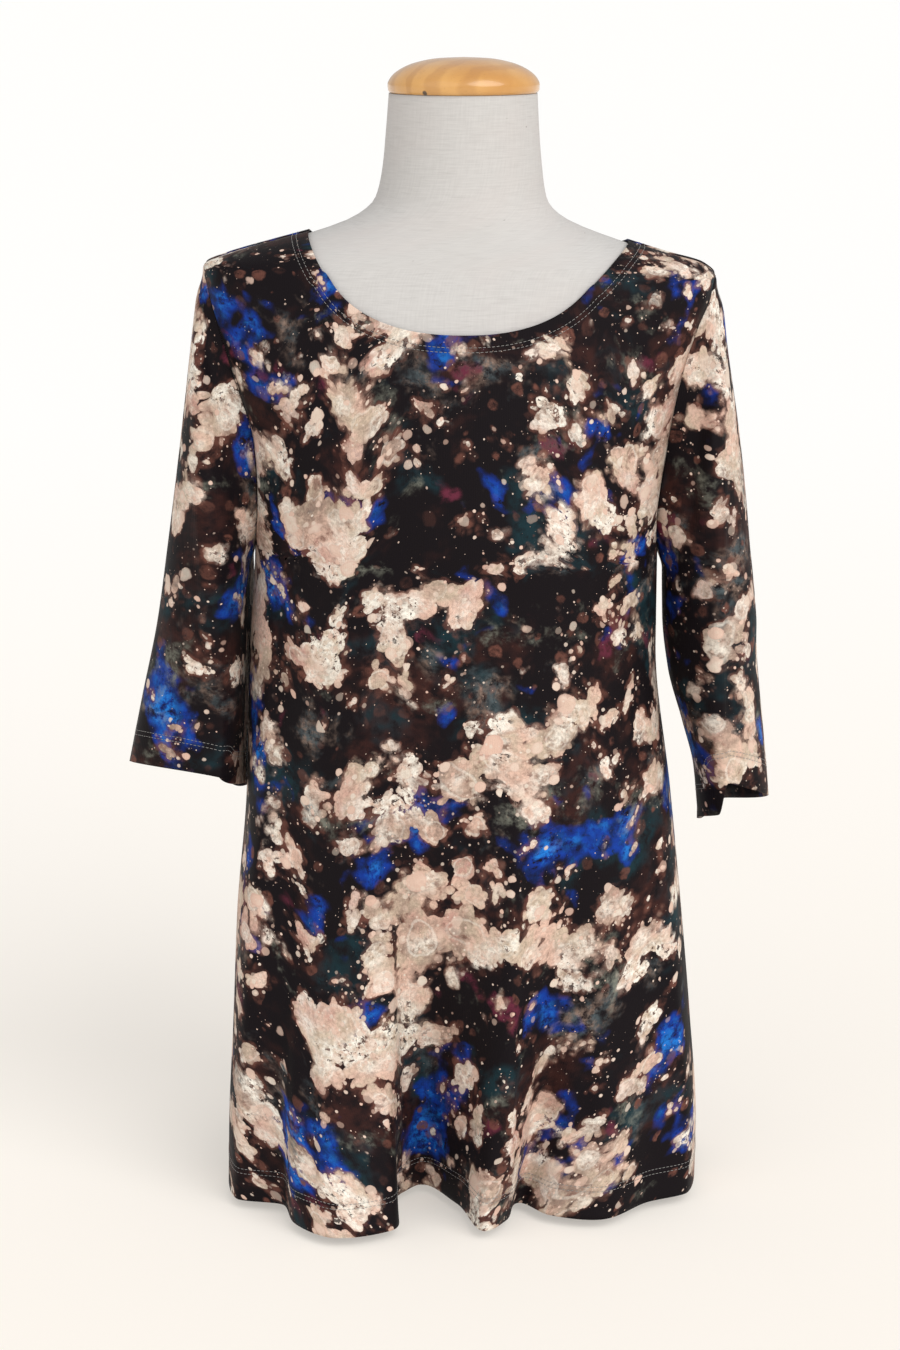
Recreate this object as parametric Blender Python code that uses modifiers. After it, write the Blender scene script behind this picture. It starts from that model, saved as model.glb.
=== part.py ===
# Jersey tunic shirt with three-quarter sleeves, worn on a limbless linen dress form.
# Metres, +Z up, the front faces -Y. The origin is the middle of the form's flat underside.
import math

import bpy
import bmesh
import numpy as np

# Cloth
CLOTH = 0.0012            # thickness of the jersey wall
SEAM_GAP = 0.0003         # air between two pieces at a seam
FORM_CLEARANCE = 0.0014   # air between the form and the cloth that rests on it
SHOULDER_CLEARANCE = 0.0033   # more air at the shoulder ends, where the faces are coarse

# Heights of the shirt's edges
HEM_HEIGHT = 0.008
UNDERARM = {"left": 0.520, "right": 0.516}
SHOULDER_TIP = {"left": 0.739, "right": 0.730}
NECK_POINT = {"left": 0.764, "right": 0.7565}
NECKLINE_LOW = {"front": 0.694, "back": 0.742}
NECKLINE_SQUARENESS = 2.3
NECKLINE_NARROWING = {    # how much narrower the curve is below the neck points
    "front": {"left": 0.10, "right": 0.22},
    "back": {"left": 0.0, "right": 0.0},
}

# How far the armhole seam lies from the side line, at its middle
ARMHOLE_INSET = {"front": 0.036, "back": 0.047}
ARMHOLE_ROUNDNESS = 0.8

# Mesh divisions
SKIRT_ROWS = 11
ARMHOLE_ROWS = 12
SHOULDER_ROWS = 4
STEPS_PER_FOLD = {"front": 3, "back": 3}
STEPS_AT_SIDE = 5         # beside a side seam, where the shoulders curve most
SLEEVE_ROWS = 14
EDGE_FADE = 20.0          # how soon the armhole's inset fades inside the panel, at the top
SEAM_COLUMN = 0.007       # share of a panel between its side edge and the next column
FORM_COLUMNS = 36

# Worn torso by height: reach to the left, right, front and back of the middle line.
# Above the bust this is also the form's own shape.
TORSO_COLUMNS = ("height", "left", "right", "front", "back")
TORSO = (
    (0.000, 0.187, 0.190, 0.136, 0.136),
    (0.050, 0.187, 0.191, 0.135, 0.134),
    (0.136, 0.184, 0.185, 0.132, 0.130),
    (0.222, 0.181, 0.177, 0.130, 0.125),
    (0.318, 0.173, 0.167, 0.128, 0.118),
    (0.440, 0.169, 0.153, 0.127, 0.109),
    (0.520, 0.164, 0.153, 0.126, 0.104),
    (0.600, 0.170, 0.166, 0.117, 0.102),
    (0.660, 0.190, 0.180, 0.104, 0.098),
    (0.694, 0.1995, 0.1905, 0.0945, 0.093),
    (0.715, 0.2035, 0.1965, 0.0875, 0.088),
    (0.730, 0.2040, 0.1955, 0.0815, 0.083),
    (0.739, 0.2005, 0.1860, 0.0780, 0.080),
    (0.7465, 0.1830, 0.1600, 0.0755, 0.077),
    (0.7565, 0.1480, 0.1275, 0.0720, 0.073),
    (0.764, 0.1197, 0.1050, 0.0690, 0.070),
    (0.7735, 0.0870, 0.0785, 0.0650, 0.0665),
    (0.780, 0.0760, 0.0695, 0.0630, 0.065),
    (0.789, 0.0680, 0.0640, 0.0610, 0.063),
    (0.813, 0.0622, 0.0603, 0.0580, 0.059),
    (0.840, 0.0595, 0.0580, 0.0565, 0.057),
    (0.868, 0.0572, 0.0565, 0.0560, 0.056),
)

# The form below the bust, where the shirt hangs free of it
LOWER_FORM = (
    (0.000, 0.148, 0.146, 0.066, 0.088),
    (0.100, 0.156, 0.153, 0.088, 0.104),
    (0.170, 0.157, 0.153, 0.100, 0.110),
    (0.270, 0.141, 0.138, 0.103, 0.098),
    (0.360, 0.124, 0.121, 0.104, 0.086),
    (0.440, 0.139, 0.134, 0.114, 0.090),
    (0.500, 0.153, 0.146, 0.122, 0.097),
)
FORM_JOIN = 0.540         # above this height the form has the torso's shape
NECK_TOP = 0.868
ARM_PLATE = {"left": 0.1955, "right": 0.1890}   # flat shoulder ends of the form
PROBE = 0.001             # step for a surface's outward direction

# Each ridge or hollow of the skirt, from the left side seam to the right one: how far it
# lies across and out at the hem, and the height where it starts.
FRONT_FOLDS = (
    # across, out, start
    (-0.188, -0.004, 0.50),   # side seam
    (-0.180, 0.108, 0.48),    # side ridge
    (-0.142, 0.120, 0.40),    # hollow
    (-0.131, 0.156, 0.24),    # first fold, outer edge
    (-0.104, 0.182, 0.24),    # first fold, crest
    (-0.056, 0.169, 0.30),    # first fold, inner edge
    (-0.049, 0.096, 0.36),    # deep hollow, near wall
    (-0.033, 0.079, 0.38),    # deep hollow, floor
    (-0.005, 0.117, 0.42),    # deep hollow, far wall
    (0.018, 0.170, 0.36),     # middle fold, crest
    (0.033, 0.150, 0.34),     # middle fold, edge
    (0.043, 0.116, 0.34),     # second hollow
    (0.068, 0.140, 0.28),     # last fold, inner edge
    (0.112, 0.147, 0.26),     # last fold, crest
    (0.147, 0.114, 0.36),     # hollow
    (0.179, 0.096, 0.48),     # side ridge
    (0.189, -0.004, 0.50),    # side seam
)
BACK_FOLDS = (
    # across, out, start
    (-0.188, 0.004, 0.50),    # side seam
    (-0.172, 0.082, 0.40),    # side ridge
    (-0.140, 0.112, 0.34),    # hollow
    (-0.104, 0.150, 0.26),    # first fold, crest
    (-0.060, 0.142, 0.24),    # first fold, edge
    (-0.036, 0.108, 0.32),    # middle hollow
    (0.006, 0.131, 0.26),     # middle ridge
    (0.042, 0.112, 0.30),     # second hollow
    (0.072, 0.150, 0.24),     # second fold, edge
    (0.112, 0.146, 0.27),     # second fold, crest
    (0.142, 0.108, 0.34),     # hollow
    (0.174, 0.078, 0.40),     # side ridge
    (0.189, 0.004, 0.50),     # side seam
)
FOLD_GROWTH = 1.25        # how steeply a fold deepens towards the hem

# Sleeves by height: outer and inner reach from the middle line, reach to the front and
# back, the line of the pressed creases, and how far the inner edge hangs behind the side.
SLEEVE_COLUMNS = ("height", "outer", "inner", "front", "back", "crease", "behind")
SLEEVE = {
    "left": (
        (0.339, 0.2683, 0.1735, 0.055, 0.038, 0.192, 0.032),
        (0.394, 0.2565, 0.1712, 0.060, 0.048, 0.189, 0.037),
        (0.456, 0.2429, 0.1680, 0.065, 0.058, 0.191, 0.036),
        (0.520, 0.2330, 0.1676, 0.067, 0.065, 0.194, 0.010),
        (0.575, 0.2251, 0.1700, 0.063, 0.065, 0.196, 0.0),
        (0.629, 0.2176, 0.1700, 0.056, 0.060, 0.199, 0.0),
        (0.680, 0.2110, 0.1700, 0.044, 0.047, 0.2005, 0.0),
        (0.715, 0.2062, 0.1700, 0.032, 0.034, 0.2010, 0.0),
        (0.739, 0.2015, 0.1700, 0.018, 0.019, 0.2000, 0.0),
    ),
    "right": (
        (0.300, 0.2475, 0.1900, 0.060, 0.044, 0.2080, 0.0),
        (0.337, 0.2441, 0.1860, 0.061, 0.047, 0.2060, 0.0),
        (0.373, 0.2401, 0.1765, 0.062, 0.052, 0.2035, 0.0),
        (0.418, 0.2351, 0.1640, 0.064, 0.058, 0.2010, 0.0),
        (0.460, 0.2317, 0.1590, 0.066, 0.062, 0.1990, 0.0),
        (0.516, 0.2265, 0.1580, 0.066, 0.065, 0.1970, 0.0),
        (0.565, 0.2215, 0.1580, 0.062, 0.065, 0.1935, 0.0),
        (0.620, 0.2140, 0.1580, 0.055, 0.059, 0.1905, 0.0),
        (0.675, 0.2050, 0.1580, 0.043, 0.046, 0.1920, 0.0),
        (0.706, 0.2010, 0.1580, 0.032, 0.034, 0.1935, 0.0),
        (0.730, 0.1965, 0.1580, 0.018, 0.019, 0.1940, 0.0),
    ),
}
SLEEVE_HEM = {"left": 0.327, "right": 0.302}          # mean height of the sleeve's hem
HEM_OUTER_RISE = {"left": 0.0125, "right": 0.009}     # higher on the outer side
HEM_FRONT_RISE = {"left": 0.014, "right": 0.018}      # and at the front
CREASE_SHARPNESS = 1.35
CREASE_LEAN = 0.62        # turns the tube so that the creases run up towards the shoulder tip
CAP_BLEND = 0.24          # share of the sleeve's length in which its cap turns into a tube
TURN_BLEND = 0.06         # the same at the tip and the underarm, where it turns down at once

# Turned wooden cap: radius and height down its outer side
NECK_CAP_PROFILE = (
    (0.0000, 0.8950),
    (0.0200, 0.8940),
    (0.0370, 0.8908),
    (0.0490, 0.8856),
    (0.0560, 0.8795),
    (0.0582, 0.8745),
    (0.0578, 0.8703),
    (0.0562, 0.8683),
    (0.0000, 0.8683),
)
NECK_CAP_STEPS = 32

SIDE_SIGN = {"left": -1.0, "right": 1.0}
FACE_SIGN = {"front": -1.0, "back": 1.0}


def remove_scene_objects():
    for thing in list(bpy.data.objects):
        bpy.data.objects.remove(thing, do_unlink=True)


def curve_through(places, values, at):
    """A smooth curve through (places, values) without overshoot, read at one place."""
    places = np.asarray(places, float)
    values = np.asarray(values, float)
    spans = np.diff(places)
    slopes = np.diff(values) / spans
    ends = np.empty_like(values)
    ends[0], ends[-1] = slopes[0], slopes[-1]
    for k in range(1, len(values) - 1):
        before, after = slopes[k - 1], slopes[k]
        if before * after <= 0.0:
            ends[k] = 0.0
        else:
            first = 2.0 * spans[k] + spans[k - 1]
            second = spans[k] + 2.0 * spans[k - 1]
            ends[k] = (first + second) / (first / before + second / after)
    at = min(max(at, places[0]), places[-1])
    k = min(int(np.searchsorted(places, at, side="right")) - 1, len(spans) - 1)
    t = (at - places[k]) / spans[k]
    rise = spans[k] * t * (1.0 - t)
    lift = rise * ((1.0 - t) * ends[k] - t * ends[k + 1])
    ease = t * t * (3.0 - 2.0 * t)
    return values[k] * (1.0 - ease) + values[k + 1] * ease + lift


def read_table(rows, columns, name, height):
    """One named column of a table, at any height."""
    column = columns.index(name)
    return curve_through([row[0] for row in rows], [row[column] for row in rows], height)


def torso_reach(name, height):
    return read_table(TORSO, TORSO_COLUMNS, name, height)


def ring_point(reach, angle, height):
    """A point of a level ring: angle 0 is the right side, a quarter turn the back."""
    side = "right" if math.cos(angle) > 0.0 else "left"
    face = "back" if math.sin(angle) > 0.0 else "front"
    across = math.cos(angle) * reach(side, height)
    out = math.sin(angle) * reach(face, height)
    return np.array((across, out, height))


def outward(reach, angle, height):
    """The outward direction of a surface made of such rings."""
    low, high = max(height - PROBE, 0.0), min(height + PROBE, NECK_TOP)
    round_it = ring_point(reach, angle + PROBE, height) - ring_point(reach, angle - PROBE, height)
    up_it = ring_point(reach, angle, high) - ring_point(reach, angle, low)
    across = np.cross(round_it, up_it)
    return across / np.linalg.norm(across)


def panel_angle(face, turn):
    """The ring angle of a turn: 0 is the left side, 1 the right side."""
    return math.pi * (1.0 + turn) if face == "front" else math.pi * (1.0 - turn)


def torso_ring(face, turn, height):
    return ring_point(torso_reach, panel_angle(face, turn), height)


def neckline(face, share):
    """Across and height of the neck edge, from the left neck point to the right one."""
    angle = math.pi * share
    side = "left" if share < 0.5 else "right"
    power = 2.0 / NECKLINE_SQUARENESS
    reach = torso_reach(side, NECK_POINT[side])
    across = -math.copysign(abs(math.cos(angle)) ** power, math.cos(angle)) * reach
    depth = abs(math.sin(angle)) ** power
    across *= 1.0 - NECKLINE_NARROWING[face][side] * (1.0 - (1.0 - depth) ** 3)
    drop = NECK_POINT[side] - NECKLINE_LOW[face]
    return across, NECK_POINT[side] - drop * depth


def edge_turn(face, side, height):
    """How far the panel's edge lies inside the side line at a height, as a turn."""
    low, high = UNDERARM[side], SHOULDER_TIP[side]
    if height <= low or height >= high:
        return 0.0
    angle = math.acos(1.0 - 2.0 * (height - low) / (high - low))
    inset = ARMHOLE_INSET[face] * math.sin(angle) ** ARMHOLE_ROUNDNESS
    return math.asin(min(1.0, inset / torso_reach(face, height))) / math.pi


def edge_heights(side):
    """Row heights along a side edge: side seam, armhole, shoulder seam."""
    low, high, neck = UNDERARM[side], SHOULDER_TIP[side], NECK_POINT[side]
    seam = [HEM_HEIGHT + (low - HEM_HEIGHT) * k / SKIRT_ROWS for k in range(SKIRT_ROWS)]
    hole = [
        low + (high - low) * (1.0 - math.cos(math.pi * k / ARMHOLE_ROWS)) / 2.0
        for k in range(ARMHOLE_ROWS)
    ]
    shoulder = [high + (neck - high) * k / SHOULDER_ROWS for k in range(SHOULDER_ROWS + 1)]
    return seam + hole + shoulder


class HemLine:
    """The skirt's folds: a smooth line through the table's ridges and hollows."""

    def __init__(self, face, rows):
        self.face = face
        self.rows = rows
        places = np.array([(across, out) for across, out, _ in rows])
        steps = np.linalg.norm(np.diff(places, axis=0), axis=1)
        self.share = np.concatenate(([0.0], np.cumsum(steps))) / steps.sum()

    def growth(self, start, height):
        if height >= start:
            return 0.0
        depth = (start - height) / (start - HEM_HEIGHT)
        return depth ** FOLD_GROWTH

    def shift(self, share, height):
        """How far a point of the skirt lies from the plain torso, across and out."""
        sideways, outwards = [], []
        for place, (across, out, start) in zip(self.share, self.rows):
            plain = torso_ring(self.face, place, HEM_HEIGHT)
            grown = self.growth(start, height)
            sideways.append((across - plain[0]) * grown)
            outwards.append((out - FACE_SIGN[self.face] * plain[1]) * grown)
        return (
            curve_through(self.share, sideways, share),
            curve_through(self.share, outwards, share),
        )

    def columns(self):
        """Shares across the panel, with some steps in each fold."""
        places = []
        for k, (low, high) in enumerate(zip(self.share[:-1], self.share[1:])):
            at_side = k in (0, len(self.rows) - 2)
            steps = STEPS_AT_SIDE if at_side else STEPS_PER_FOLD[self.face]
            places += [low + (high - low) * step / steps for step in range(steps)]
        return [0.0, SEAM_COLUMN] + places[1:] + [1.0 - SEAM_COLUMN, 1.0]


HEM_LINES = {
    "front": HemLine("front", FRONT_FOLDS),
    "back": HemLine("back", BACK_FOLDS),
}


def panel_point(face, share, height, turn):
    """A point of a panel, with its folds."""
    point = torso_ring(face, turn, height)
    across, out = HEM_LINES[face].shift(share, height)
    return point + np.array((across, FACE_SIGN[face] * out, 0.0))


def neckline_turn(face, share):
    """The turn at which a column of the panel ends at the neck edge."""
    across, height = neckline(face, share)
    side = "left" if across < 0.0 else "right"
    ratio = min(1.0, abs(across) / torso_reach(side, height))
    angle = math.acos(ratio)
    return angle / math.pi if side == "left" else 1.0 - angle / math.pi


def panel_grid(face):
    """Points of a panel, row by row from the hem to the neck edge."""
    left, right = edge_heights("left"), edge_heights("right")
    grid = []
    for row, (low_left, low_right) in enumerate(zip(left, right)):
        share_left = (low_left - HEM_HEIGHT) / (NECK_POINT["left"] - HEM_HEIGHT)
        share_right = (low_right - HEM_HEIGHT) / (NECK_POINT["right"] - HEM_HEIGHT)
        upper = max(0.0, (row - SKIRT_ROWS) / (len(left) - 1 - SKIRT_ROWS))
        points = []
        for share in HEM_LINES[face].columns():
            _, top = neckline(face, share)
            rise = share_left * (1.0 - share) + share_right * share
            height = HEM_HEIGHT + rise * (top - HEM_HEIGHT)
            place = share * (1.0 - upper) + neckline_turn(face, share) * upper
            fade = 1.0 + EDGE_FADE * upper ** 2
            left_inset = edge_turn(face, "left", height) * (1.0 - share) ** fade
            right_inset = edge_turn(face, "right", height) * share ** fade
            turn = place + left_inset - right_inset
            points.append(panel_point(face, share, height, turn))
        grid.append(points)
    trim_side_edges(grid)
    return grid


def trim_side_edges(grid):
    """Draw the side and shoulder edges back, so that their rims stay a gap apart."""
    for points in grid:
        for edge, inner in ((0, 1), (-1, -2)):
            away = points[inner] - points[edge]
            points[edge] = points[edge] + away / np.linalg.norm(away) * SEAM_GAP


def armhole_loop(side, grids):
    """Points round an armhole: shoulder tip, front, underarm, back, just off the panels."""
    column = 0 if side == "left" else -1
    first, last = SKIRT_ROWS, SKIRT_ROWS + ARMHOLE_ROWS
    places = [(row, "front") for row in range(last, first, -1)]
    places += [(row, "back") for row in range(first, last)]
    edges = []
    for row, face in places:
        edge = grids[face][row][column].copy()
        if row in (first, last):
            edge[1] = 0.0
        edges.append((face, edge))
    loop = []
    for k, (face, edge) in enumerate(edges):
        along = edges[(k + 1) % len(edges)][1] - edges[k - 1][1]
        turn = edge_turn(face, side, edge[2])
        angle = panel_angle(face, turn if side == "left" else 1.0 - turn)
        normal = outward(torso_reach, angle, edge[2])
        away = np.cross(along, normal) * -SIDE_SIGN[side]
        away /= np.linalg.norm(away)
        share = (edge[2] - UNDERARM[side]) / (SHOULDER_TIP[side] - UNDERARM[side])
        under = (1.0 - min(1.0, max(0.0, share))) ** 2
        gap = SEAM_GAP + CLOTH / 2.0 * (1.0 - under)
        loop.append(edge + away * gap + normal * (CLOTH + SEAM_GAP) * under)
    return loop


def sleeve_section(side, angle, height):
    """A point of the sleeve's tube: angle 0 is the outer side, a quarter turn the front."""
    outer, inner, front, back, crease, behind = (
        read_table(SLEEVE[side], SLEEVE_COLUMNS, name, height)
        for name in SLEEVE_COLUMNS[1:]
    )
    cosine, sine = math.cos(angle), math.sin(angle)
    reach = outer - crease if cosine > 0.0 else inner - crease
    across = crease + reach * abs(cosine) ** CREASE_SHARPNESS
    out = front if sine > 0.0 else back
    return SIDE_SIGN[side] * across, behind * max(0.0, -cosine) ** 3 - sine * out


def ease_in(t):
    t = min(1.0, max(0.0, t))
    return t * t * (3.0 - 2.0 * t)


def sleeve_grid(side, grids):
    """Rings of a sleeve, from its armhole to its hem."""
    loop = armhole_loop(side, grids)
    half = len(loop) // 2
    rings = []
    for row in range(SLEEVE_ROWS + 1):
        s = row / SLEEVE_ROWS
        ring = []
        for k, start in enumerate(loop):
            turn = min(k, len(loop) - k) / half
            lean = math.pi * turn ** CREASE_LEAN
            angle = lean if k <= half else -lean
            end = SLEEVE_HEM[side]
            end += HEM_OUTER_RISE[side] * math.cos(angle) + HEM_FRONT_RISE[side] * math.sin(angle)
            height = start[2] + (end - start[2]) * s
            across, out = sleeve_section(side, angle, height)
            blend = TURN_BLEND + (CAP_BLEND - TURN_BLEND) * math.sin(math.pi * turn)
            share = ease_in(s / blend)
            x = start[0] + (across - start[0]) * share
            y = start[1] + (out - start[1]) * share
            ring.append(np.array((x, y, height)))
        rings.append(ring)
    return rings


def form_reach(name, height):
    """The form's reach: its own shape below the bust, the worn torso's above."""
    if height >= FORM_JOIN:
        return torso_reach(name, height)
    lower = [row[0] for row in LOWER_FORM] + [FORM_JOIN]
    column = TORSO_COLUMNS.index(name)
    reach = [row[column] for row in LOWER_FORM] + [torso_reach(name, FORM_JOIN)]
    return curve_through(lower, reach, height)


def form_ring(height):
    """A ring of the form, drawn in from the worn torso by the cloth that lies on it."""
    ring = []
    for k in range(FORM_COLUMNS):
        angle = 2.0 * math.pi * k / FORM_COLUMNS
        point = ring_point(form_reach, angle, height)
        if height <= max(NECK_POINT.values()):
            clear = FORM_CLEARANCE + SHOULDER_CLEARANCE * (point[0] / ARM_PLATE["left"]) ** 4
            point = point - outward(form_reach, angle, height) * (CLOTH / 2.0 + clear)
        point[0] = min(max(point[0], -ARM_PLATE["left"]), ARM_PLATE["right"])
        if height in (0.0, NECK_TOP):
            point[2] = height
        ring.append(point)
    return ring


def form_rings():
    lower = [row[0] for row in LOWER_FORM] + [FORM_JOIN]
    upper = [row[0] for row in TORSO if row[0] > FORM_JOIN]
    return [form_ring(height) for height in lower + upper]


def principled(name, colour, roughness):
    material = bpy.data.materials.new(name)
    material.use_nodes = True
    shader = material.node_tree.nodes["Principled BSDF"]
    shader.inputs["Base Color"].default_value = (*colour, 1.0)
    shader.inputs["Roughness"].default_value = roughness
    shader.inputs["Metallic"].default_value = 0.0
    return material


def loft(name, rings, closed_round, collection, material):
    """An open sheet or tube through the rings, with its faces turned outwards."""
    mesh = bpy.data.meshes.new(name)
    made = bmesh.new()
    rows = [[made.verts.new(point) for point in ring] for ring in rings]
    count = len(rows[0])
    for low, high in zip(rows[:-1], rows[1:]):
        for k in range(count if closed_round else count - 1):
            after = (k + 1) % count
            made.faces.new((low[k], low[after], high[after], high[k]))
    made.to_mesh(mesh)
    made.free()
    thing = bpy.data.objects.new(name, mesh)
    collection.objects.link(thing)
    mesh.materials.append(material)
    mesh.shade_smooth()
    return thing


def thicken(thing):
    wall = thing.modifiers.new("wall", "SOLIDIFY")
    wall.thickness = CLOTH
    wall.offset = 0.0
    wall.use_even_offset = False
    wall.use_rim = True


def flip_faces(thing):
    made = bmesh.new()
    made.from_mesh(thing.data)
    bmesh.ops.reverse_faces(made, faces=made.faces)
    made.to_mesh(thing.data)
    made.free()


def close_ends(thing):
    """Close the form's neck and its flat underside."""
    made = bmesh.new()
    made.from_mesh(thing.data)
    bmesh.ops.holes_fill(made, edges=[e for e in made.edges if e.is_boundary])
    bmesh.ops.recalc_face_normals(made, faces=made.faces)
    made.to_mesh(thing.data)
    made.free()


def make_panels(collection, material):
    grids = {face: panel_grid(face) for face in ("front", "back")}
    for face, grid in grids.items():
        panel = loft(face, grid, False, collection, material)
        if face == "back":
            flip_faces(panel)
        thicken(panel)
    return grids


def make_sleeves(grids, collection, material):
    for side in ("left", "right"):
        sleeve = loft("sleeve_" + side, sleeve_grid(side, grids), True, collection, material)
        if side == "right":
            flip_faces(sleeve)
        thicken(sleeve)


def make_form(collection, material):
    form = loft("form_body", form_rings(), True, collection, material)
    close_ends(form)


def make_neck_cap(collection, material):
    mesh = bpy.data.meshes.new("neck_cap")
    made = bmesh.new()
    points = [made.verts.new((radius, 0.0, height)) for radius, height in NECK_CAP_PROFILE]
    for a, b in zip(points[:-1], points[1:]):
        made.edges.new((a, b))
    made.to_mesh(mesh)
    made.free()
    cap = bpy.data.objects.new("neck_cap", mesh)
    collection.objects.link(cap)
    mesh.materials.append(material)
    turn = cap.modifiers.new("turned", "SCREW")
    turn.steps = NECK_CAP_STEPS
    turn.render_steps = NECK_CAP_STEPS
    turn.use_merge_vertices = True
    turn.merge_threshold = 0.0001
    turn.use_smooth_shade = True


def main():
    remove_scene_objects()
    collection = bpy.data.collections.new("jersey_tunic_on_dress_form")
    bpy.context.scene.collection.children.link(collection)
    jersey = principled("printed_jersey", (0.10, 0.07, 0.08), 0.75)
    linen = principled("linen", (0.74, 0.71, 0.67), 0.85)
    wood = principled("varnished_wood", (0.62, 0.34, 0.11), 0.30)
    grids = make_panels(collection, jersey)
    make_sleeves(grids, collection, jersey)
    make_form(collection, linen)
    make_neck_cap(collection, wood)


main()
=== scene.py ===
# Looks, light and camera for the jersey tunic on its linen dress form.
import math

import bpy
import numpy as np
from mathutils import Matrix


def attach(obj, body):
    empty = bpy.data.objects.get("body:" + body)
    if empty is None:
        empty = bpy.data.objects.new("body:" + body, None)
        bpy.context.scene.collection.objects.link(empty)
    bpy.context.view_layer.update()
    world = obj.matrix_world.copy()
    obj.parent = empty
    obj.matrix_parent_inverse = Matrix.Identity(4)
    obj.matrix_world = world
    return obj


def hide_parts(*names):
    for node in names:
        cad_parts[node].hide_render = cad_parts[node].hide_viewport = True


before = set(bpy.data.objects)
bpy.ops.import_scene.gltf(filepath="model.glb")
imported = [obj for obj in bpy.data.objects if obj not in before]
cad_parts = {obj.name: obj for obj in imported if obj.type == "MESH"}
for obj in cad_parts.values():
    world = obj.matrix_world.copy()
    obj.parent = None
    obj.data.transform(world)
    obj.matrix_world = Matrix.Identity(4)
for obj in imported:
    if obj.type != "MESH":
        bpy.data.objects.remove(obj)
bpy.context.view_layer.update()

# Shape, on the same tables as the CAD, in metres
CLOTH = 0.0009            # thickness of the jersey that shows
SEAM_GAP = 0.0003
WALL = 0.0012             # the CAD cloth's wall
FORM_CLEARANCE = 0.0014
SHOULDER_CLEARANCE = 0.0033
HEM_HEIGHT = 0.008
UNDERARM = {"left": 0.520, "right": 0.516}
SHOULDER_TIP = {"left": 0.739, "right": 0.730}
NECK_POINT = {"left": 0.764, "right": 0.7565}
NECKLINE_LOW = {"front": 0.694, "back": 0.742}
NECKLINE_SQUARENESS = 2.3
NECKLINE_NARROWING = {
    "front": {"left": 0.10, "right": 0.22},
    "back": {"left": 0.0, "right": 0.0},
}
ARMHOLE_INSET = {"front": 0.036, "back": 0.047}
ARMHOLE_ROUNDNESS = 0.8
EDGE_FADE = 20.0

# Mesh divisions; the armhole has three rows for each one of the shoulder, as in the CAD
SKIRT_ROWS = 146
ARMHOLE_ROWS = 72
SHOULDER_ROWS = 24
PANEL_COLUMNS = 172
SEAM_COLUMNS = (0.0012, 0.0028, 0.005)
SLEEVE_ROWS = 136
SLEEVE_ROW_POWER = 1.25
SLEEVE_RADIUS = 0.052     # mean, for the flat places of the print
FORM_COLUMNS = 160
FORM_ROWS = 200
CAP_COLUMNS = 128


def metres(rows):
    """Rows of millimetres, in metres."""
    return tuple(tuple(value / 1000.0 for value in row) for row in rows)


TORSO_COLUMNS = ("height", "left", "right", "front", "back")
TORSO = metres((
    (0, 187, 190, 136, 136),
    (50, 187, 191, 135, 134),
    (136, 184, 185, 132, 130),
    (222, 181, 177, 130, 125),
    (318, 173, 167, 128, 118),
    (440, 169, 153, 127, 109),
    (520, 164, 153, 126, 104),
    (600, 170, 166, 117, 102),
    (660, 190, 180, 104, 98),
    (694, 199.5, 190.5, 94.5, 93),
    (715, 203.5, 196.5, 87.5, 88),
    (730, 204, 195.5, 81.5, 83),
    (739, 200.5, 186, 78, 80),
    (746.5, 183, 160, 75.5, 77),
    (756.5, 148, 127.5, 72, 73),
    (764, 119.7, 105, 69, 70),
    (773.5, 87, 78.5, 65, 66.5),
    (780, 76, 69.5, 63, 65),
    (789, 68, 64, 61, 63),
    (813, 62.2, 60.3, 58, 59),
    (840, 59.5, 58, 56.5, 57),
    (868, 57.2, 56.5, 56, 56),
))
LOWER_FORM = metres((
    (0, 148, 146, 66, 88),
    (100, 156, 153, 88, 104),
    (170, 157, 153, 100, 110),
    (270, 141, 138, 103, 98),
    (360, 124, 121, 104, 86),
    (440, 139, 134, 114, 90),
    (500, 153, 146, 122, 97),
))
FORM_JOIN = 0.540
NECK_TOP = 0.868
ARM_PLATE = {"left": 0.1955, "right": 0.1890}
PROBE = 0.001

# Across and out at the hem, and the height where each fold starts
FRONT_FOLDS = metres((
    (-188, -4, 500), (-180, 108, 480), (-142, 120, 400),
    (-131, 156, 240), (-104, 182, 240), (-56, 169, 300),
    (-49, 96, 360), (-33, 79, 380), (-5, 117, 420),
    (18, 170, 360), (33, 150, 340), (43, 116, 340),
    (68, 140, 280), (112, 147, 260), (147, 114, 360),
    (179, 96, 480), (189, -4, 500),
))
BACK_FOLDS = metres((
    (-188, 4, 500), (-172, 82, 400), (-140, 112, 340),
    (-104, 150, 260), (-60, 142, 240), (-36, 108, 320),
    (6, 131, 260), (42, 112, 300), (72, 150, 240),
    (112, 146, 270), (142, 108, 340), (174, 78, 400),
    (189, 4, 500),
))
FOLD_GROWTH = 1.25

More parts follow.
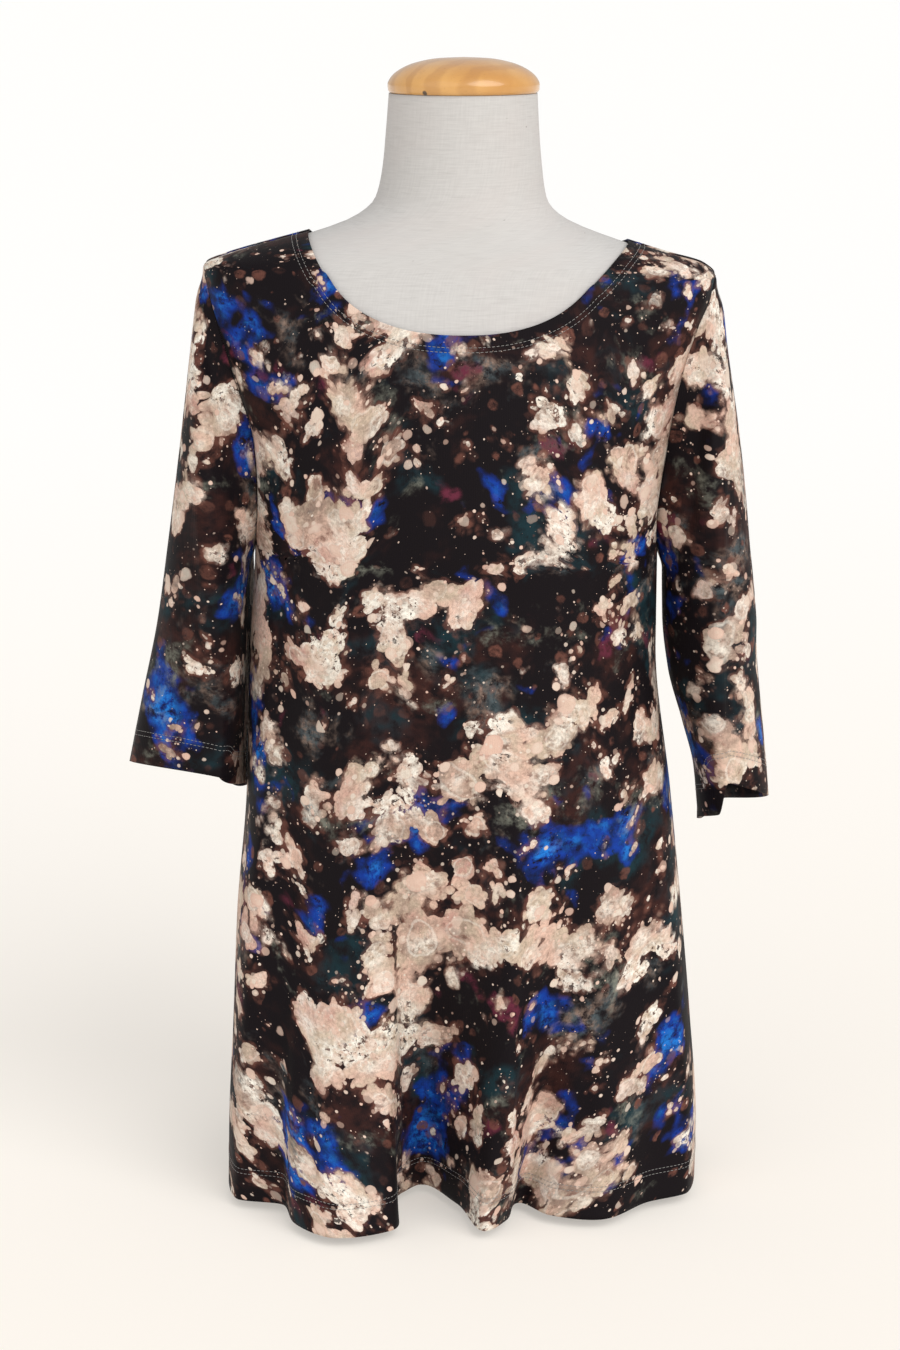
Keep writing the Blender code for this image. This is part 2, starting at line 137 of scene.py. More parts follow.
SLEEVE_COLUMNS = ("height", "outer", "inner", "front", "back", "crease", "behind")
SLEEVE = {
    "left": metres((
        (339, 268.3, 173.5, 55, 38, 192, 32),
        (394, 256.5, 171.2, 60, 48, 189, 37),
        (456, 242.9, 168, 65, 58, 191, 36),
        (520, 233, 167.6, 67, 65, 194, 10),
        (575, 225.1, 170, 63, 65, 196, 0),
        (629, 217.6, 170, 56, 60, 199, 0),
        (680, 211, 170, 44, 47, 200.5, 0),
        (715, 206.2, 170, 32, 34, 201, 0),
        (739, 201.5, 170, 18, 19, 200, 0),
    )),
    "right": metres((
        (300, 247.5, 190, 60, 44, 208, 0),
        (337, 244.1, 186, 61, 47, 206, 0),
        (373, 240.1, 176.5, 62, 52, 203.5, 0),
        (418, 235.1, 164, 64, 58, 201, 0),
        (460, 231.7, 159, 66, 62, 199, 0),
        (516, 226.5, 158, 66, 65, 197, 0),
        (565, 221.5, 158, 62, 65, 193.5, 0),
        (620, 214, 158, 55, 59, 190.5, 0),
        (675, 205, 158, 43, 46, 192, 0),
        (706, 201, 158, 32, 34, 193.5, 0),
        (730, 196.5, 158, 18, 19, 194, 0),
    )),
}
SLEEVE_HEM = {"left": 0.327, "right": 0.302}
HEM_OUTER_RISE = {"left": 0.0125, "right": 0.009}
HEM_FRONT_RISE = {"left": 0.014, "right": 0.018}
HEM_FOLD = 0.2055         # where a fold parts the right sleeve's hem in two lobes
HEM_FOLD_WIDTH = {"front": 0.0034, "back": 0.0120}
HEM_LIFT = {"front": 0.45, "back": 0.30}  # slope of the lobe beyond the fold
HEM_DROP = 0.33           # slope of the front lobe before it
CREASE_SHARPNESS = 1.35
CREASE_LEAN = 0.62
CAP_BLEND = 0.24
TURN_BLEND = 0.06
NECK_CAP_PROFILE = (
    (0.0000, 0.8950), (0.0200, 0.8940), (0.0370, 0.8908), (0.0490, 0.8856),
    (0.0560, 0.8795), (0.0582, 0.8745), (0.0578, 0.8703), (0.0562, 0.8683),
)
SIDE_SIGN = {"left": -1.0, "right": 1.0}
FACE_SIGN = {"front": -1.0, "back": 1.0}

# Small relief of the cloth
SEAM_DIP = 0.0010         # how far the cloth turns in at a seam
SEAM_DIP_WIDTH = 0.0032
NECK_STITCH = 0.0112      # middle of the twin rows, from the edge
HEM_STITCH = 0.0235
SLEEVE_STITCH = 0.0240
ROW_APART = 0.0036        # between the twin needles
STITCH_LENGTH = 0.0026
STITCH_GAP = 0.0008
THREAD_RADIUS = 0.00022

# Soft ridges (+) and troughs (-) in millimetres, as seen from the front or the back: depth,
# the widths on the picture's left and right of the path, and the path's (across, height)
FRONT_CREASES = (
    # skirt
    (3.6, 6, 4, ((-61, 300), (-58, 200), (-54, 110), (-52, 4))),
    (-3.6, 7, 9, ((-48, 330), (-46, 230), (-43, 150))),
    (-3.4, 8, 10, ((-6, 460), (-4, 380), (-2, 300), (0, 220))),
    (3.8, 7, 4, ((42, 380), (39, 250), (36, 120), (33, 4))),
    (-3.2, 6, 10, ((53, 350), (52, 220), (50, 120))),
    (2.8, 4, 6, ((-132, 200), (-131, 100), (-131, 4))),
    (-2.8, 5, 6, ((-118, 160), (-118, 80), (-117, 10))),
    (-3.4, 6, 9, ((150, 370), (152, 300), (157, 210), (163, 150))),
    (2.8, 9, 9, ((103, 250), (108, 140), (112, 20))),
    (-2.6, 9, 12, ((-100, 440), (-104, 360), (-108, 280))),
    (2.4, 12, 12, ((82, 470), (86, 380), (92, 290))),
    # waist and bust
    (-1.8, 12, 16, ((-146, 520), (-120, 500), (-90, 455))),
    (1.2, 14, 14, ((-150, 480), (-126, 440), (-110, 390))),
    (-1.6, 12, 16, ((140, 515), (112, 492), (86, 448))),
    (1, 12, 12, ((142, 470), (120, 430), (106, 380))),
    # beside the armholes
    (2, 6, 10, ((-166, 660), (-158, 610), (-153, 560), (-153, 500))),
    (-1.8, 7, 10, ((-148, 640), (-142, 600), (-138, 560))),
    (-1.4, 10, 8, ((-150, 590), (-122, 622), (-92, 632))),
    (1.8, 10, 6, ((158, 655), (150, 610), (146, 560), (145, 510))),
    (-1.6, 10, 7, ((142, 635), (134, 598), (130, 556))),
    (-1.2, 8, 10, ((142, 585), (116, 612), (90, 622))),
)
BACK_CREASES = (
    (2, 6, 5, ((-64, 280), (-62, 180), (-60, 20))),
    (-2, 9, 9, ((-40, 380), (-38, 290), (-37, 180))),
    (1.8, 10, 10, ((4, 320), (6, 200), (6, 30))),
    (-2, 10, 8, ((36, 360), (40, 260), (42, 170))),
    (1.8, 5, 7, ((70, 280), (72, 170), (73, 20))),
    (-1.8, 14, 18, ((-120, 480), (-70, 450), (-10, 442), (60, 456))),
    (1.4, 14, 14, ((-90, 420), (-30, 404), (50, 412))),
    (-1.6, 12, 16, ((130, 500), (96, 470), (70, 430))),
    (-1.4, 10, 10, ((-148, 610), (-120, 650), (-90, 672))),
    (-1.2, 10, 10, ((140, 600), (116, 640), (84, 664))),
    (1.4, 10, 12, ((-150, 560), (-132, 600), (-108, 624))),
    (1.2, 10, 12, ((144, 556), (124, 596), (104, 618))),
)
SLEEVE_CREASES = {
    ("left", "front"): (
        (1.6, 4, 6, ((-206, 690), (-205, 600), (-202, 520), (-197, 420), (-190, 345))),
        (-2.2, 5, 7, ((-198, 690), (-190, 640), (-183, 580), (-176, 520))),
        (2.2, 5, 6, ((-192, 650), (-185, 590), (-180, 530), (-176, 480))),
        (-1.8, 8, 10, ((-222, 560), (-214, 520), (-206, 490))),
        (1.6, 10, 10, ((-232, 480), (-222, 440), (-212, 415))),
        (-1.6, 10, 12, ((-238, 440), (-228, 400), (-222, 360))),
    ),
    ("left", "back"): (
        (-1.8, 8, 10, ((-215, 600), (-204, 560), (-194, 530))),
        (1.6, 10, 10, ((-224, 520), (-210, 480), (-200, 440))),
        (-1.6, 10, 12, ((-240, 420), (-226, 390), (-212, 350))),
    ),
    ("right", "front"): (
        (1.6, 6, 4, ((197, 660), (199, 560), (200, 460), (204, 380), (207, 310))),
        (-2, 7, 5, ((190, 680), (182, 620), (176, 560), (172, 500))),
        (1.8, 6, 6, ((196, 640), (189, 580), (183, 520))),
        (2.2, 11, 7, ((194, 560), (195, 470), (194, 400), (200, 350), (202, 250))),
        (-3.6, 7, 11, ((206, 600), (207, 480), (208, 400), (213, 350), (214, 250))),
        (1.6, 10, 10, ((212, 520), (222, 480), (228, 440))),
        (-1.4, 8, 10, ((220, 440), (226, 400), (228, 360))),
        (-3, 7, 7, ((216, 338), (224, 330), (232, 326))),
    ),
    ("right", "back"): (
        (-1.8, 10, 8, ((208, 600), (196, 556), (186, 520))),
        (1.6, 10, 10, ((218, 500), (204, 460), (196, 420))),
        (-1.6, 10, 10, ((232, 410), (218, 376), (206, 340))),
    ),
}

# Colours, linear
BLACK = (0.0050, 0.0028, 0.0042)
DARK_BROWN = (0.036, 0.012, 0.010)
MID_BROWN = (0.150, 0.058, 0.042)
TEAL = (0.007, 0.026, 0.034)
NAVY = (0.004, 0.012, 0.070)
ROYAL = (0.005, 0.036, 0.290)
AZURE = (0.014, 0.190, 0.640)
BURGUNDY = (0.120, 0.020, 0.040)
SAGE = (0.190, 0.195, 0.160)
TAUPE = (0.310, 0.215, 0.170)
SLATE = (0.085, 0.110, 0.120)
BLOTCH_LEVEL = 0.585      # higher leaves less of the cloth pale
PEACH = (0.690, 0.465, 0.370)
ROSE = (0.540, 0.310, 0.255)
BEIGE = (0.560, 0.440, 0.335)
CREAM = (0.870, 0.820, 0.730)

# Camera
PICTURE_HEIGHT = 1350
FOCAL_PIXELS = 2957.0
SENSOR = 36.0
CAMERA_PLACE = (-0.0104, -2.3, 0.963)
CAMERA_PITCH = math.radians(13.5)


def curve_through(places, values, at):
    """A smooth curve without overshoot. values may hold one column for each place in at."""
    places = np.asarray(places, float)
    at = np.clip(np.atleast_1d(np.asarray(at, float)), places[0], places[-1])
    values = np.asarray(values, float)
    if values.ndim == 1:
        values = values[:, None]
    spans = np.diff(places)[:, None]
    slopes = np.diff(values, axis=0) / spans
    before, after = slopes[:-1], slopes[1:]
    first = 2.0 * spans[1:] + spans[:-1]
    second = spans[1:] + 2.0 * spans[:-1]
    same = before * after > 0.0
    safe_before, safe_after = np.where(same, before, 1.0), np.where(same, after, 1.0)
    inner = np.where(same, (first + second) / (first / safe_before + second / safe_after), 0.0)
    ends = np.vstack((slopes[:1], inner, slopes[-1:]))
    k = np.minimum(np.searchsorted(places, at, side="right") - 1, len(places) - 2)
    column = np.arange(at.size) if values.shape[1] > 1 else np.zeros(at.size, int)
    span = spans[k, 0]
    t = (at - places[k]) / span
    rise = span * t * (1.0 - t)
    lift = rise * ((1.0 - t) * ends[k, column] - t * ends[k + 1, column])
    ease = t * t * (3.0 - 2.0 * t)
    return values[k, column] * (1.0 - ease) + values[k + 1, column] * ease + lift


def read_table(rows, columns, name, height):
    column = columns.index(name)
    return curve_through([row[0] for row in rows], [row[column] for row in rows], height)


def torso_reach(name, height):
    return read_table(TORSO, TORSO_COLUMNS, name, height)


def form_reach(name, height):
    """The form's reach: its own shape below the bust, the worn torso's above."""
    lower = [row[0] for row in LOWER_FORM] + [FORM_JOIN]
    column = TORSO_COLUMNS.index(name)
    reach = [row[column] for row in LOWER_FORM] + [torso_reach(name, FORM_JOIN)[0]]
    below = curve_through(lower, reach, height)
    return np.where(np.asarray(height) >= FORM_JOIN, torso_reach(name, height), below)


def ring_point(reach, angle, height):
    """Points of level rings: angle 0 is the right side, a quarter turn the back."""
    cosine, sine = np.cos(angle), np.sin(angle)
    across = cosine * np.where(cosine > 0.0, reach("right", height), reach("left", height))
    out = sine * np.where(sine > 0.0, reach("back", height), reach("front", height))
    return np.stack((across, out, height), axis=-1)


def unit(vectors):
    return vectors / np.maximum(np.linalg.norm(vectors, axis=-1, keepdims=True), 1e-12)


def outward(reach, angle, height):
    low, high = np.maximum(height - PROBE, 0.0), np.minimum(height + PROBE, NECK_TOP)
    round_it = ring_point(reach, angle + PROBE, height) - ring_point(reach, angle - PROBE, height)
    up_it = ring_point(reach, angle, high) - ring_point(reach, angle, low)
    return unit(np.cross(round_it, up_it))


def panel_angle(face, turn):
    return math.pi * (1.0 + turn) if face == "front" else math.pi * (1.0 - turn)


def neckline(face, share):
    """Across and height of the neck edge, from the left neck point to the right one."""
    angle = math.pi * share
    left = share < 0.5
    power = 2.0 / NECKLINE_SQUARENESS
    point = np.where(left, NECK_POINT["left"], NECK_POINT["right"])
    reach = np.where(left, torso_reach("left", NECK_POINT["left"])[0],
                     torso_reach("right", NECK_POINT["right"])[0])
    cosine = np.cos(angle)
    across = -np.sign(cosine) * np.abs(cosine) ** power * reach
    depth = np.abs(np.sin(angle)) ** power
    narrowing = np.where(left, *(NECKLINE_NARROWING[face][side] for side in ("left", "right")))
    across = across * (1.0 - narrowing * (1.0 - (1.0 - depth) ** 3))
    drop = point - NECKLINE_LOW[face]
    return across, point - drop * depth


def neckline_turn(face, share):
    across, height = neckline(face, share)
    left = across < 0.0
    reach = np.where(left, torso_reach("left", height), torso_reach("right", height))
    angle = np.arccos(np.minimum(1.0, np.abs(across) / reach)) / math.pi
    return np.where(left, angle, 1.0 - angle)


def edge_turn(face, side, height):
    """How far the panel's edge lies inside the side line at a height, as a turn."""
    low, high = UNDERARM[side], SHOULDER_TIP[side]
    place = np.clip((height - low) / (high - low), 0.0, 1.0)
    inset = ARMHOLE_INSET[face] * np.maximum(np.sin(np.arccos(1.0 - 2.0 * place)), 0.0)
    inset = ARMHOLE_INSET[face] * (inset / ARMHOLE_INSET[face]) ** ARMHOLE_ROUNDNESS
    inside = (height > low) & (height < high)
    turn = np.arcsin(np.minimum(1.0, inset / torso_reach(face, height))) / math.pi
    return np.where(inside, turn, 0.0)


def edge_heights(side):
    """Row heights along a side edge: side seam, armhole, shoulder seam."""
    low, high, neck = UNDERARM[side], SHOULDER_TIP[side], NECK_POINT[side]
    seam = HEM_HEIGHT + (low - HEM_HEIGHT) * np.arange(SKIRT_ROWS) / SKIRT_ROWS
    turn = math.pi * np.arange(ARMHOLE_ROWS) / ARMHOLE_ROWS
    hole = low + (high - low) * (1.0 - np.cos(turn)) / 2.0
    shoulder = high + (neck - high) * np.arange(SHOULDER_ROWS + 1) / SHOULDER_ROWS
    return np.concatenate((seam, hole, shoulder))


def fold_shift(face, share, height):
    """How far the skirt's folds carry a point from the plain torso, across and out."""
    rows = FRONT_FOLDS if face == "front" else BACK_FOLDS
    table = np.array(rows)
    steps = np.linalg.norm(np.diff(table[:, :2], axis=0), axis=1)
    place = np.concatenate(([0.0], np.cumsum(steps))) / steps.sum()
    level = np.full(place.shape, HEM_HEIGHT)
    plain = ring_point(torso_reach, panel_angle(face, place), level)
    depth = np.maximum(table[:, 2:3] - height[None, :], 0.0) / (table[:, 2:3] - HEM_HEIGHT)
    grown = depth ** FOLD_GROWTH
    sideways = (table[:, 0] - plain[:, 0])[:, None] * grown
    outwards = (table[:, 1] - FACE_SIGN[face] * plain[:, 1])[:, None] * grown
    return curve_through(place, sideways, share), curve_through(place, outwards, share)


def panel_columns():
    even = np.linspace(SEAM_COLUMNS[-1], 1.0 - SEAM_COLUMNS[-1], PANEL_COLUMNS)
    near = np.array((0.0,) + SEAM_COLUMNS[:-1])
    return np.concatenate((near, even, 1.0 - near[::-1]))


def panel_grid(face):
    """Points of a panel, row by row from the hem to the neck edge."""
    columns = panel_columns()
    left, right = edge_heights("left"), edge_heights("right")
    rows = len(left)
    share = np.tile(columns, rows)
    row = np.repeat(np.arange(rows), len(columns))
    share_left = (left[row] - HEM_HEIGHT) / (NECK_POINT["left"] - HEM_HEIGHT)
    share_right = (right[row] - HEM_HEIGHT) / (NECK_POINT["right"] - HEM_HEIGHT)
    upper = np.maximum(0.0, (row - SKIRT_ROWS) / (rows - 1.0 - SKIRT_ROWS))
    top = neckline(face, share)[1]
    rise = share_left * (1.0 - share) + share_right * share
    height = HEM_HEIGHT + rise * (top - HEM_HEIGHT)
    place = share * (1.0 - upper) + neckline_turn(face, share) * upper
    fade = 1.0 + EDGE_FADE * upper ** 2
    turn = (place + edge_turn(face, "left", height) * (1.0 - share) ** fade
            - edge_turn(face, "right", height) * share ** fade)
    points = ring_point(torso_reach, panel_angle(face, turn), height)
    across, out = fold_shift(face, share, height)
    points[:, 0] += across
    points[:, 1] += FACE_SIGN[face] * out
    grid = points.reshape(rows, len(columns), 3)
    for edge, inner in ((0, 1), (-1, -2)):
        grid[:, edge] += unit(grid[:, inner] - grid[:, edge]) * SEAM_GAP
    return grid


def armhole_loop(side, grids):
    """Points round an armhole, and the torso's outward directions there."""
    column = 0 if side == "left" else -1
    first, last = SKIRT_ROWS, SKIRT_ROWS + ARMHOLE_ROWS
    places = [(row, "front") for row in range(last, first, -1)]
    places += [(row, "back") for row in range(first, last)]
    edges = np.array([grids[face][row][column] for row, face in places])
    for k, (row, _) in enumerate(places):
        if row in (first, last):
            edges[k, 1] = 0.0
    along = np.roll(edges, -1, axis=0) - np.roll(edges, 1, axis=0)
    height = edges[:, 2]
    angle = np.empty(len(places))
    for face in ("front", "back"):
        here = np.array([name == face for _, name in places])
        turn = edge_turn(face, side, height)
        turn = turn if side == "left" else 1.0 - turn
        angle[here] = panel_angle(face, turn)[here]
    normal = outward(torso_reach, angle, height)
    away = unit(np.cross(along, normal) * -SIDE_SIGN[side])
    share = (height - UNDERARM[side]) / (SHOULDER_TIP[side] - UNDERARM[side])
    under = (1.0 - np.clip(share, 0.0, 1.0))[:, None] ** 2
    gap = SEAM_GAP + WALL / 2.0 * (1.0 - under)
    return edges + away * gap + normal * (WALL + SEAM_GAP) * under, normal


def ease_in(t):
    t = np.clip(t, 0.0, 1.0)
    return t * t * (3.0 - 2.0 * t)


def lobed_hem(end, angle):
    """The right sleeve's hem, dropped before its front fold and lifted beyond it."""
    outer, inner, crease = (read_table(SLEEVE["right"], SLEEVE_COLUMNS, name, end)
                            for name in ("outer", "inner", "crease"))
    cosine = np.cos(angle)
    reach = np.where(cosine > 0.0, outer, inner) - crease
    across = crease + reach * np.abs(cosine) ** CREASE_SHARPNESS
    moves = {}
    for face in ("front", "back"):
        width = HEM_FOLD_WIDTH[face]
        past = ease_in((across - HEM_FOLD + width) / (2.0 * width))
        moves[face] = HEM_LIFT[face] * (outer - across) * past
        if face == "front":
            moves[face] -= HEM_DROP * (across - inner) * (1.0 - past)
    return end + np.where(np.sin(angle) > 0.0, moves["front"], moves["back"])


def sleeve_grid(side, grids):
    """Rings of a sleeve from its armhole to its hem, and the armhole's directions."""
    loop, normal = armhole_loop(side, grids)
    count = len(loop)
    half = count // 2
    k = np.arange(count)
    turn = np.minimum(k, count - k) / half
    lean = math.pi * turn ** CREASE_LEAN
    angle = np.where(k <= half, lean, -lean)
    end = (SLEEVE_HEM[side] + HEM_OUTER_RISE[side] * np.cos(angle)
           + HEM_FRONT_RISE[side] * np.sin(angle))
    if side == "right":
        end = lobed_hem(end, angle)
    blend = TURN_BLEND + (CAP_BLEND - TURN_BLEND) * np.sin(math.pi * turn)
    cosine, sine = np.cos(angle), np.sin(angle)
    rings = []
    for row in range(SLEEVE_ROWS + 1):
        s = (row / SLEEVE_ROWS) ** SLEEVE_ROW_POWER
        height = loop[:, 2] + (end - loop[:, 2]) * s
        outer, inner, front, back, crease, behind = (
            read_table(SLEEVE[side], SLEEVE_COLUMNS, name, height) for name in SLEEVE_COLUMNS[1:])
        reach = np.where(cosine > 0.0, outer, inner) - crease
        across = SIDE_SIGN[side] * (crease + reach * np.abs(cosine) ** CREASE_SHARPNESS)
        out = behind * np.maximum(0.0, -cosine) ** 3 - sine * np.where(sine > 0.0, front, back)
        share = ease_in(s / blend)
        x = loop[:, 0] + (across - loop[:, 0]) * share
        y = loop[:, 1] + (out - loop[:, 1]) * share
        rings.append(np.stack((x, y, height), axis=-1))
    return np.array(rings), normal


def grid_normals(grid, closed, flip):
    """Unit outward directions of a grid of points."""
    up = np.gradient(grid, axis=0)
    if closed:
        over = np.roll(grid, -1, axis=1) - np.roll(grid, 1, axis=1)
    else:
        over = np.gradient(grid, axis=1)
    normal = unit(np.cross(over, up))
    return -normal if flip else normal


def crease_relief(x, z, creases):
    """Height of the soft ridges and troughs at each point of a front or back view."""
    x, z = x * 1000.0, z * 1000.0
    relief = np.zeros(x.shape)
    for depth, left_width, right_width, path in creases:
        best = np.full(x.shape, 9000.0)
        side = np.zeros(x.shape)
        along = np.zeros(x.shape)
        count = len(path) - 1
        for k, ((x0, z0), (x1, z1)) in enumerate(zip(path[:-1], path[1:])):
            dx, dz = x1 - x0, z1 - z0
            t = np.clip(((x - x0) * dx + (z - z0) * dz) / (dx * dx + dz * dz), 0.0, 1.0)
            ox, oz = x - x0 - t * dx, z - z0 - t * dz
            far = np.hypot(ox, oz)
            near = far < best
            best = np.where(near, far, best)
            side = np.where(near, ox, side)
            along = np.where(near, (k + t) / count, along)
        width = np.where(side < 0.0, left_width, right_width)
        fade = ease_in(along / 0.3 + 0.05) * ease_in((1.0 - along) / 0.3 + 0.05)
        relief += depth / 1000.0 * np.exp(-(best / width) ** 2) * fade
    return relief


def distance_to(points, line):
    """Distance of each point to the nearest point of a dense line."""
    line = np.asarray(line)
    fine = [line[:-1] + (line[1:] - line[:-1]) * t for t in (0.0, 0.25, 0.5, 0.75)]
    line = np.concatenate(fine + [line[-1:]])
    flat = points.reshape(-1, 3)
    nearest = np.empty(len(flat))
    for k in range(0, len(flat), 4000):
        part = flat[k:k + 4000]
        square = ((part ** 2).sum(1)[:, None] + (line ** 2).sum(1)[None, :]
                  - 2.0 * part @ line.T)
        nearest[k:k + 4000] = np.sqrt(np.maximum(square.min(axis=1), 0.0))
    return nearest.reshape(points.shape[:-1])


def arc_uv(grid, closed, offset):
    """Flat pattern places in metres: level along the rows from the middle, and down the columns."""
    ring = np.concatenate((grid, grid[:, :1]), axis=1) if closed else grid
    across = np.linalg.norm(np.diff(ring[..., :2], axis=1), axis=2)
    u = np.concatenate((np.zeros((len(ring), 1)), np.cumsum(across, axis=1)), axis=1)
    middle = u.shape[1] // 2
    u = u - u[:, middle:middle + 1]
    down = np.linalg.norm(np.diff(ring, axis=0), axis=2)
    v = np.concatenate((np.zeros((1, ring.shape[1])), np.cumsum(down, axis=0)), axis=0)
    return np.stack((u + offset[0], v + offset[1]), axis=-1)


def tube_uv(grid, side, offset):
    """Places in metres on a sleeve laid flat: round its crease line, and by height."""
    ring = np.concatenate((grid, grid[:, :1]), axis=1)
    height = ring[..., 2]
    crease = read_table(SLEEVE[side], SLEEVE_COLUMNS, "crease", height.ravel())
    beside = SIDE_SIGN[side] * ring[..., 0] - crease.reshape(height.shape)
    turn = np.unwrap(np.arctan2(-ring[..., 1], beside), axis=1)
    turn = turn - 2.0 * math.pi * np.round(turn.mean(axis=1, keepdims=True) / (2.0 * math.pi))
    return np.stack((turn * SLEEVE_RADIUS + offset[0], height + offset[1]), axis=-1)


def placed(name, data):
    """A new object in the scene."""
    thing = bpy.data.objects.new(name, data)
    bpy.context.collection.objects.link(thing)
    return thing


def grid_piece(name, grid, uv, marks, materials, closed=False, flip=False):
    """A mesh object through a grid of points, with a UV map in metres."""
    rows, columns = grid.shape[:2]
    across = columns if closed else columns - 1
    index = np.arange(rows * columns).reshape(rows, columns)
    after = np.roll(index, -1, axis=1)
    quads = np.stack((index[:-1, :across], after[:-1, :across],
                      after[1:, :across], index[1:, :across]), axis=-1).reshape(-1, 4)
    corners = np.stack((uv[:-1, :-1], uv[:-1, 1:], uv[1:, 1:], uv[1:, :-1]),
                       axis=2).reshape(-1, 4, 2)
    if flip:
        quads, corners = quads[:, ::-1], corners[:, ::-1]
    mesh = bpy.data.meshes.new(name)
    mesh.from_pydata(grid.reshape(-1, 3).tolist(), [], quads.tolist())
    mesh.uv_layers.new(name="UVMap").data.foreach_set("uv", corners.ravel())
    for key, values in marks.items():
        mesh.attributes.new(key, "FLOAT", "POINT").data.foreach_set("value", values.ravel())
    for material in materials:
        mesh.materials.append(material)
    mesh.shade_smooth()
    return placed(name, mesh)


def thicken(piece):
    wall = piece.modifiers.new("wall", "SOLIDIFY")
    wall.thickness = CLOTH
    wall.offset = 0.0
    wall.use_even_offset = False
    wall.use_rim = True
    wall.material_offset = 1
    wall.material_offset_rim = 0


def seam_dip(distance):
    """The cloth turns in next to a seam."""
    return -SEAM_DIP * np.maximum(0.0, 1.0 - distance / SEAM_DIP_WIDTH) ** 2


def hem_mark(distances):
    """How far past its stitching each point lies, for the nearest of several hems."""
    mark = np.full(distances[0][0].shape, 0.05)
    for distance, stitching in distances:
        past = np.clip(distance - stitching, -0.05, 0.05)
        mark = np.where(np.abs(past) < np.abs(mark), past, mark)
    return mark


def stitch_line(grid, normals, distance, at, from_last, closed):
    """Points and outward directions of the line that lies a distance inside an edge."""
    rows = len(grid)
    order = np.arange(rows)[::-1] if from_last else np.arange(rows)
    field = distance[order]
    points, ups = [], []
    for column in range(grid.shape[1]):
        line = field[:, column]
        past = np.nonzero(line >= at)[0]
        if len(past) == 0 or past[0] == 0:
            continue
        k = past[0]
        t = (at - line[k - 1]) / max(line[k] - line[k - 1], 1e-9)
        a, b = order[k - 1], order[k]
        points.append(grid[a, column] * (1.0 - t) + grid[b, column] * t)
        ups.append(normals[a, column] * (1.0 - t) + normals[b, column] * t)
    points, ups = np.array(points), unit(np.array(ups))
    if closed:
        points, ups = np.vstack((points, points[:1])), np.vstack((ups, ups[:1]))
    return points, ups


def stitches(name, lines, material):
    """One mesh of short threads that lie along the lines, dipping at their ends."""
    spots = ((-0.5, 0.35, -0.00012), (-0.30, 1.0, 0.00010), (0.30, 1.0, 0.00010),
             (0.5, 0.35, -0.00012))
    sides = 5
    vertices, faces = [], []
    for points, ups in lines:
        steps = np.linalg.norm(np.diff(points, axis=0), axis=1)
        place = np.concatenate(([0.0], np.cumsum(steps)))
        count = int(place[-1] / (STITCH_LENGTH + STITCH_GAP))
        middles = (np.arange(count) + 0.5) * place[-1] / max(count, 1)

        def at(where, values):
            return np.stack([np.interp(where, place, values[:, k]) for k in range(3)], axis=-1)

        up = unit(at(middles, ups))
        ahead = unit(at(middles + 0.0005, points) - at(middles - 0.0005, points))
        side = np.cross(ahead, up)
        for n in range(count):
            base = len(vertices)
            for share, fat, lift in spots:
                here = (at(np.array([middles[n] + share * STITCH_LENGTH]), points)[0]
                        + up[n] * (CLOTH / 2.0 + lift))
                for k in range(sides):
                    turn = 2.0 * math.pi * k / sides
                    ring = side[n] * math.cos(turn) + up[n] * math.sin(turn)
                    vertices.append(here + ring * THREAD_RADIUS * fat)
            for level in range(len(spots) - 1):
                for k in range(sides):
                    a, b = base + level * sides + k, base + level * sides + (k + 1) % sides
                    faces.append((a, b, b + sides, a + sides))
            faces.append(tuple(base + k for k in reversed(range(sides))))
            faces.append(tuple(base + (len(spots) - 1) * sides + k for k in range(sides)))
    mesh = bpy.data.meshes.new(name)
    mesh.from_pydata([tuple(v) for v in vertices], [], faces)
    mesh.materials.append(material)
    mesh.shade_smooth()
    piece = placed(name, mesh)
    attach(piece, "root")
    return piece


# Materials

